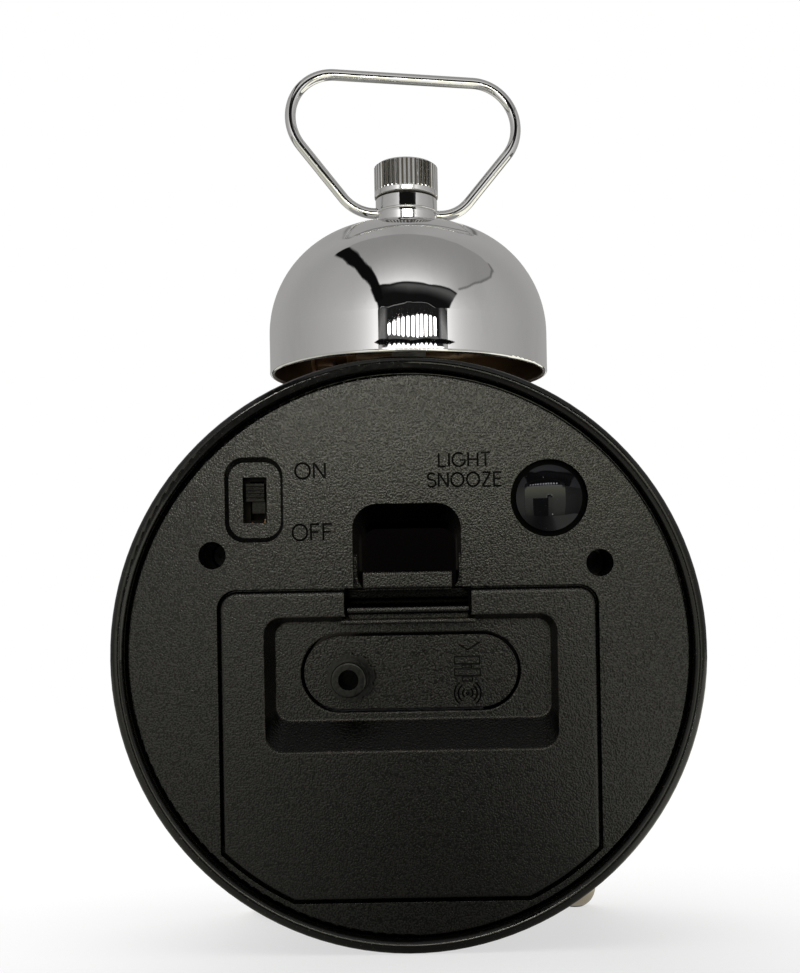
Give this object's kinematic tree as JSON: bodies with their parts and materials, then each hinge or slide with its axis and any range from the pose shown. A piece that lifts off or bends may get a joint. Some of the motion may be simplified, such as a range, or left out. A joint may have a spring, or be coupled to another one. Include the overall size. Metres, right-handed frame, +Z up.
{
  "type": "alarm clock",
  "caption": "Analogue bell alarm clock: round case on two ball feet and its rear bead, bell with folding wire handle above, battery door, switch, button and knob at the back.",
  "frame": {"origin": "middle of the bounding box in X and Y, on the table that the clock stands on", "axes": "+Z up, -Y towards the person who reads the dial, +X to that person's right"},
  "size_m": [0.1, 0.0658, 0.16],
  "materials": {
    "case_black": "gloss black enamel",
    "bezel_black": "gloss black enamel",
    "lens": "clear, polished",
    "white_plastic": "satin white",
    "dial_white": "matt white with printed numerals",
    "black_moulding": "fine spark-eroded grain",
    "door_moulding": "fine grain, satin",
    "button_gloss": "polished black",
    "knob_plastic": "satin black",
    "slider_plastic": "ribbed, satin black",
    "chrome": "bright chrome plate",
    "foot_chrome": "bright chrome plate",
    "zinc_steel": "zinc plated",
    "dark_steel": "blued",
    "spring_steel": "drawn wire, nickel plated",
    "hammer_brass": "turned, tarnished",
    "nut_brass": "turned",
    "movement_plastic": "matt black",
    "frame_plastic": "natural white moulding",
    "hand_paint": "matt black paint",
    "alarm_paint": "matt red paint",
    "led_clear": "clear epoxy",
    "board_green": "solder mask",
    "switch_metal": "tin plated",
    "cell_jacket": "printed film jacket",
    "coil_copper": "enamelled copper wire",
    "ferrite": "sintered, dark grey"
  },
  "bodies": {
    "case": {"case_drum": "case_black", "bezel_ring": "bezel_black", "front_lens": "lens", "spacer_ring": "white_plastic", "dial_plate": "dial_white", "dial_light": "led_clear", "dial_nut": "nut_brass", "foot_left": "foot_chrome", "foot_right": "foot_chrome", "movement_case": "movement_plastic", "movement_cover": "movement_plastic", "carrier_frame": "frame_plastic", "back_cover": "black_moulding", "cover_screws": "zinc_steel", "battery_cell_upper": "cell_jacket", "battery_cell_lower": "cell_jacket", "contact_link": "spring_steel", "contact_plus": "spring_steel", "contact_minus": "spring_steel", "switch_body": "switch_metal", "button_spring": "spring_steel", "push_switch": "switch_metal", "control_board": "board_green", "bell": "chrome", "bell_post": "zinc_steel", "bell_washer": "zinc_steel", "post_nut": "zinc_steel", "handle_collar": "chrome", "knurled_nut": "chrome", "striker_bracket": "zinc_steel", "pivot_pin": "zinc_steel", "magnet_core": "dark_steel", "magnet_coil": "coil_copper", "striker_spring": "spring_steel", "aerial_rod": "ferrite", "aerial_winding": "coil_copper"},
    "hour": {"hour_hand": "hand_paint"},
    "minute": {"minute_hand": "hand_paint"},
    "second": {"second_hand": "hand_paint"},
    "alarm": {"alarm_hand": "alarm_paint"},
    "knob": {"alarm_set_knob": "knob_plastic"},
    "slider": {"switch_slider": "slider_plastic"},
    "button": {"snooze_button": "button_gloss"},
    "door": {"battery_door": "door_moulding"},
    "handle": {"handle": "chrome"},
    "striker": {"striker_arm": "dark_steel", "hammer_head": "hammer_brass"}
  },
  "joints": [
    {"name": "minute_turn", "type": "hinge", "parent": "case", "child": "minute", "pos_m": [0, -0.01959, 0.05484], "axis": [0, 0.9934, -0.1149], "continuous": true},
    {"name": "hour_turn", "type": "hinge", "parent": "case", "child": "hour", "pos_m": [0, -0.01859, 0.05472], "axis": [0, 0.9934, -0.1149], "continuous": true},
    {"name": "second_turn", "type": "hinge", "parent": "case", "child": "second", "pos_m": [0, -0.02058, 0.05495], "axis": [0, 0.9934, -0.1149], "continuous": true},
    {"name": "alarm_knob_turn", "type": "hinge", "parent": "case", "child": "knob", "pos_m": [0.0101, 0.02168, 0.04604], "axis": [0, 0.9934, -0.1149], "continuous": true},
    {"name": "alarm_hand_turn", "type": "hinge", "parent": "case", "child": "alarm", "pos_m": [0, -0.0176, 0.05461], "axis": [0, 0.9934, -0.1149], "continuous": true},
    {"name": "switch_slide", "type": "slide", "parent": "case", "child": "slider", "axis": [0, -0.1149, -0.9934], "range_m": [0, 0.0026]},
    {"name": "button_press", "type": "slide", "parent": "case", "child": "button", "axis": [0, -0.9934, 0.1149], "range_m": [0, 0.0012], "stiffness_N_per_m": 400, "springref_m": -0.0015, "deforming": ["button_spring"]},
    {"name": "door_hinge", "type": "hinge", "parent": "case", "child": "door", "pos_m": [0, 0.02038, 0.00869], "axis": [-1, 0, 0], "range_deg": [0, 70]},
    {"name": "handle_fold", "type": "hinge", "parent": "case", "child": "handle", "pos_m": [0, 0.00962, 0.1332], "axis": [0.9826, 0.1844, -0.0213], "range_deg": [-112, 112]},
    {"name": "striker_swing", "type": "hinge", "parent": "case", "child": "striker", "pos_m": [0.013, -0.00399, 0.09129], "axis": [0, 0.9934, -0.1149], "range_deg": [0, 7], "stiffness_Nm_per_rad": 0.003, "springref_deg": -8.59}
  ],
  "couplings": [
    {"joint": "hour_turn", "follows": "minute_turn", "ratio": 0.083333},
    {"joint": "alarm_hand_turn", "follows": "alarm_knob_turn", "ratio": -0.33333}
  ]
}
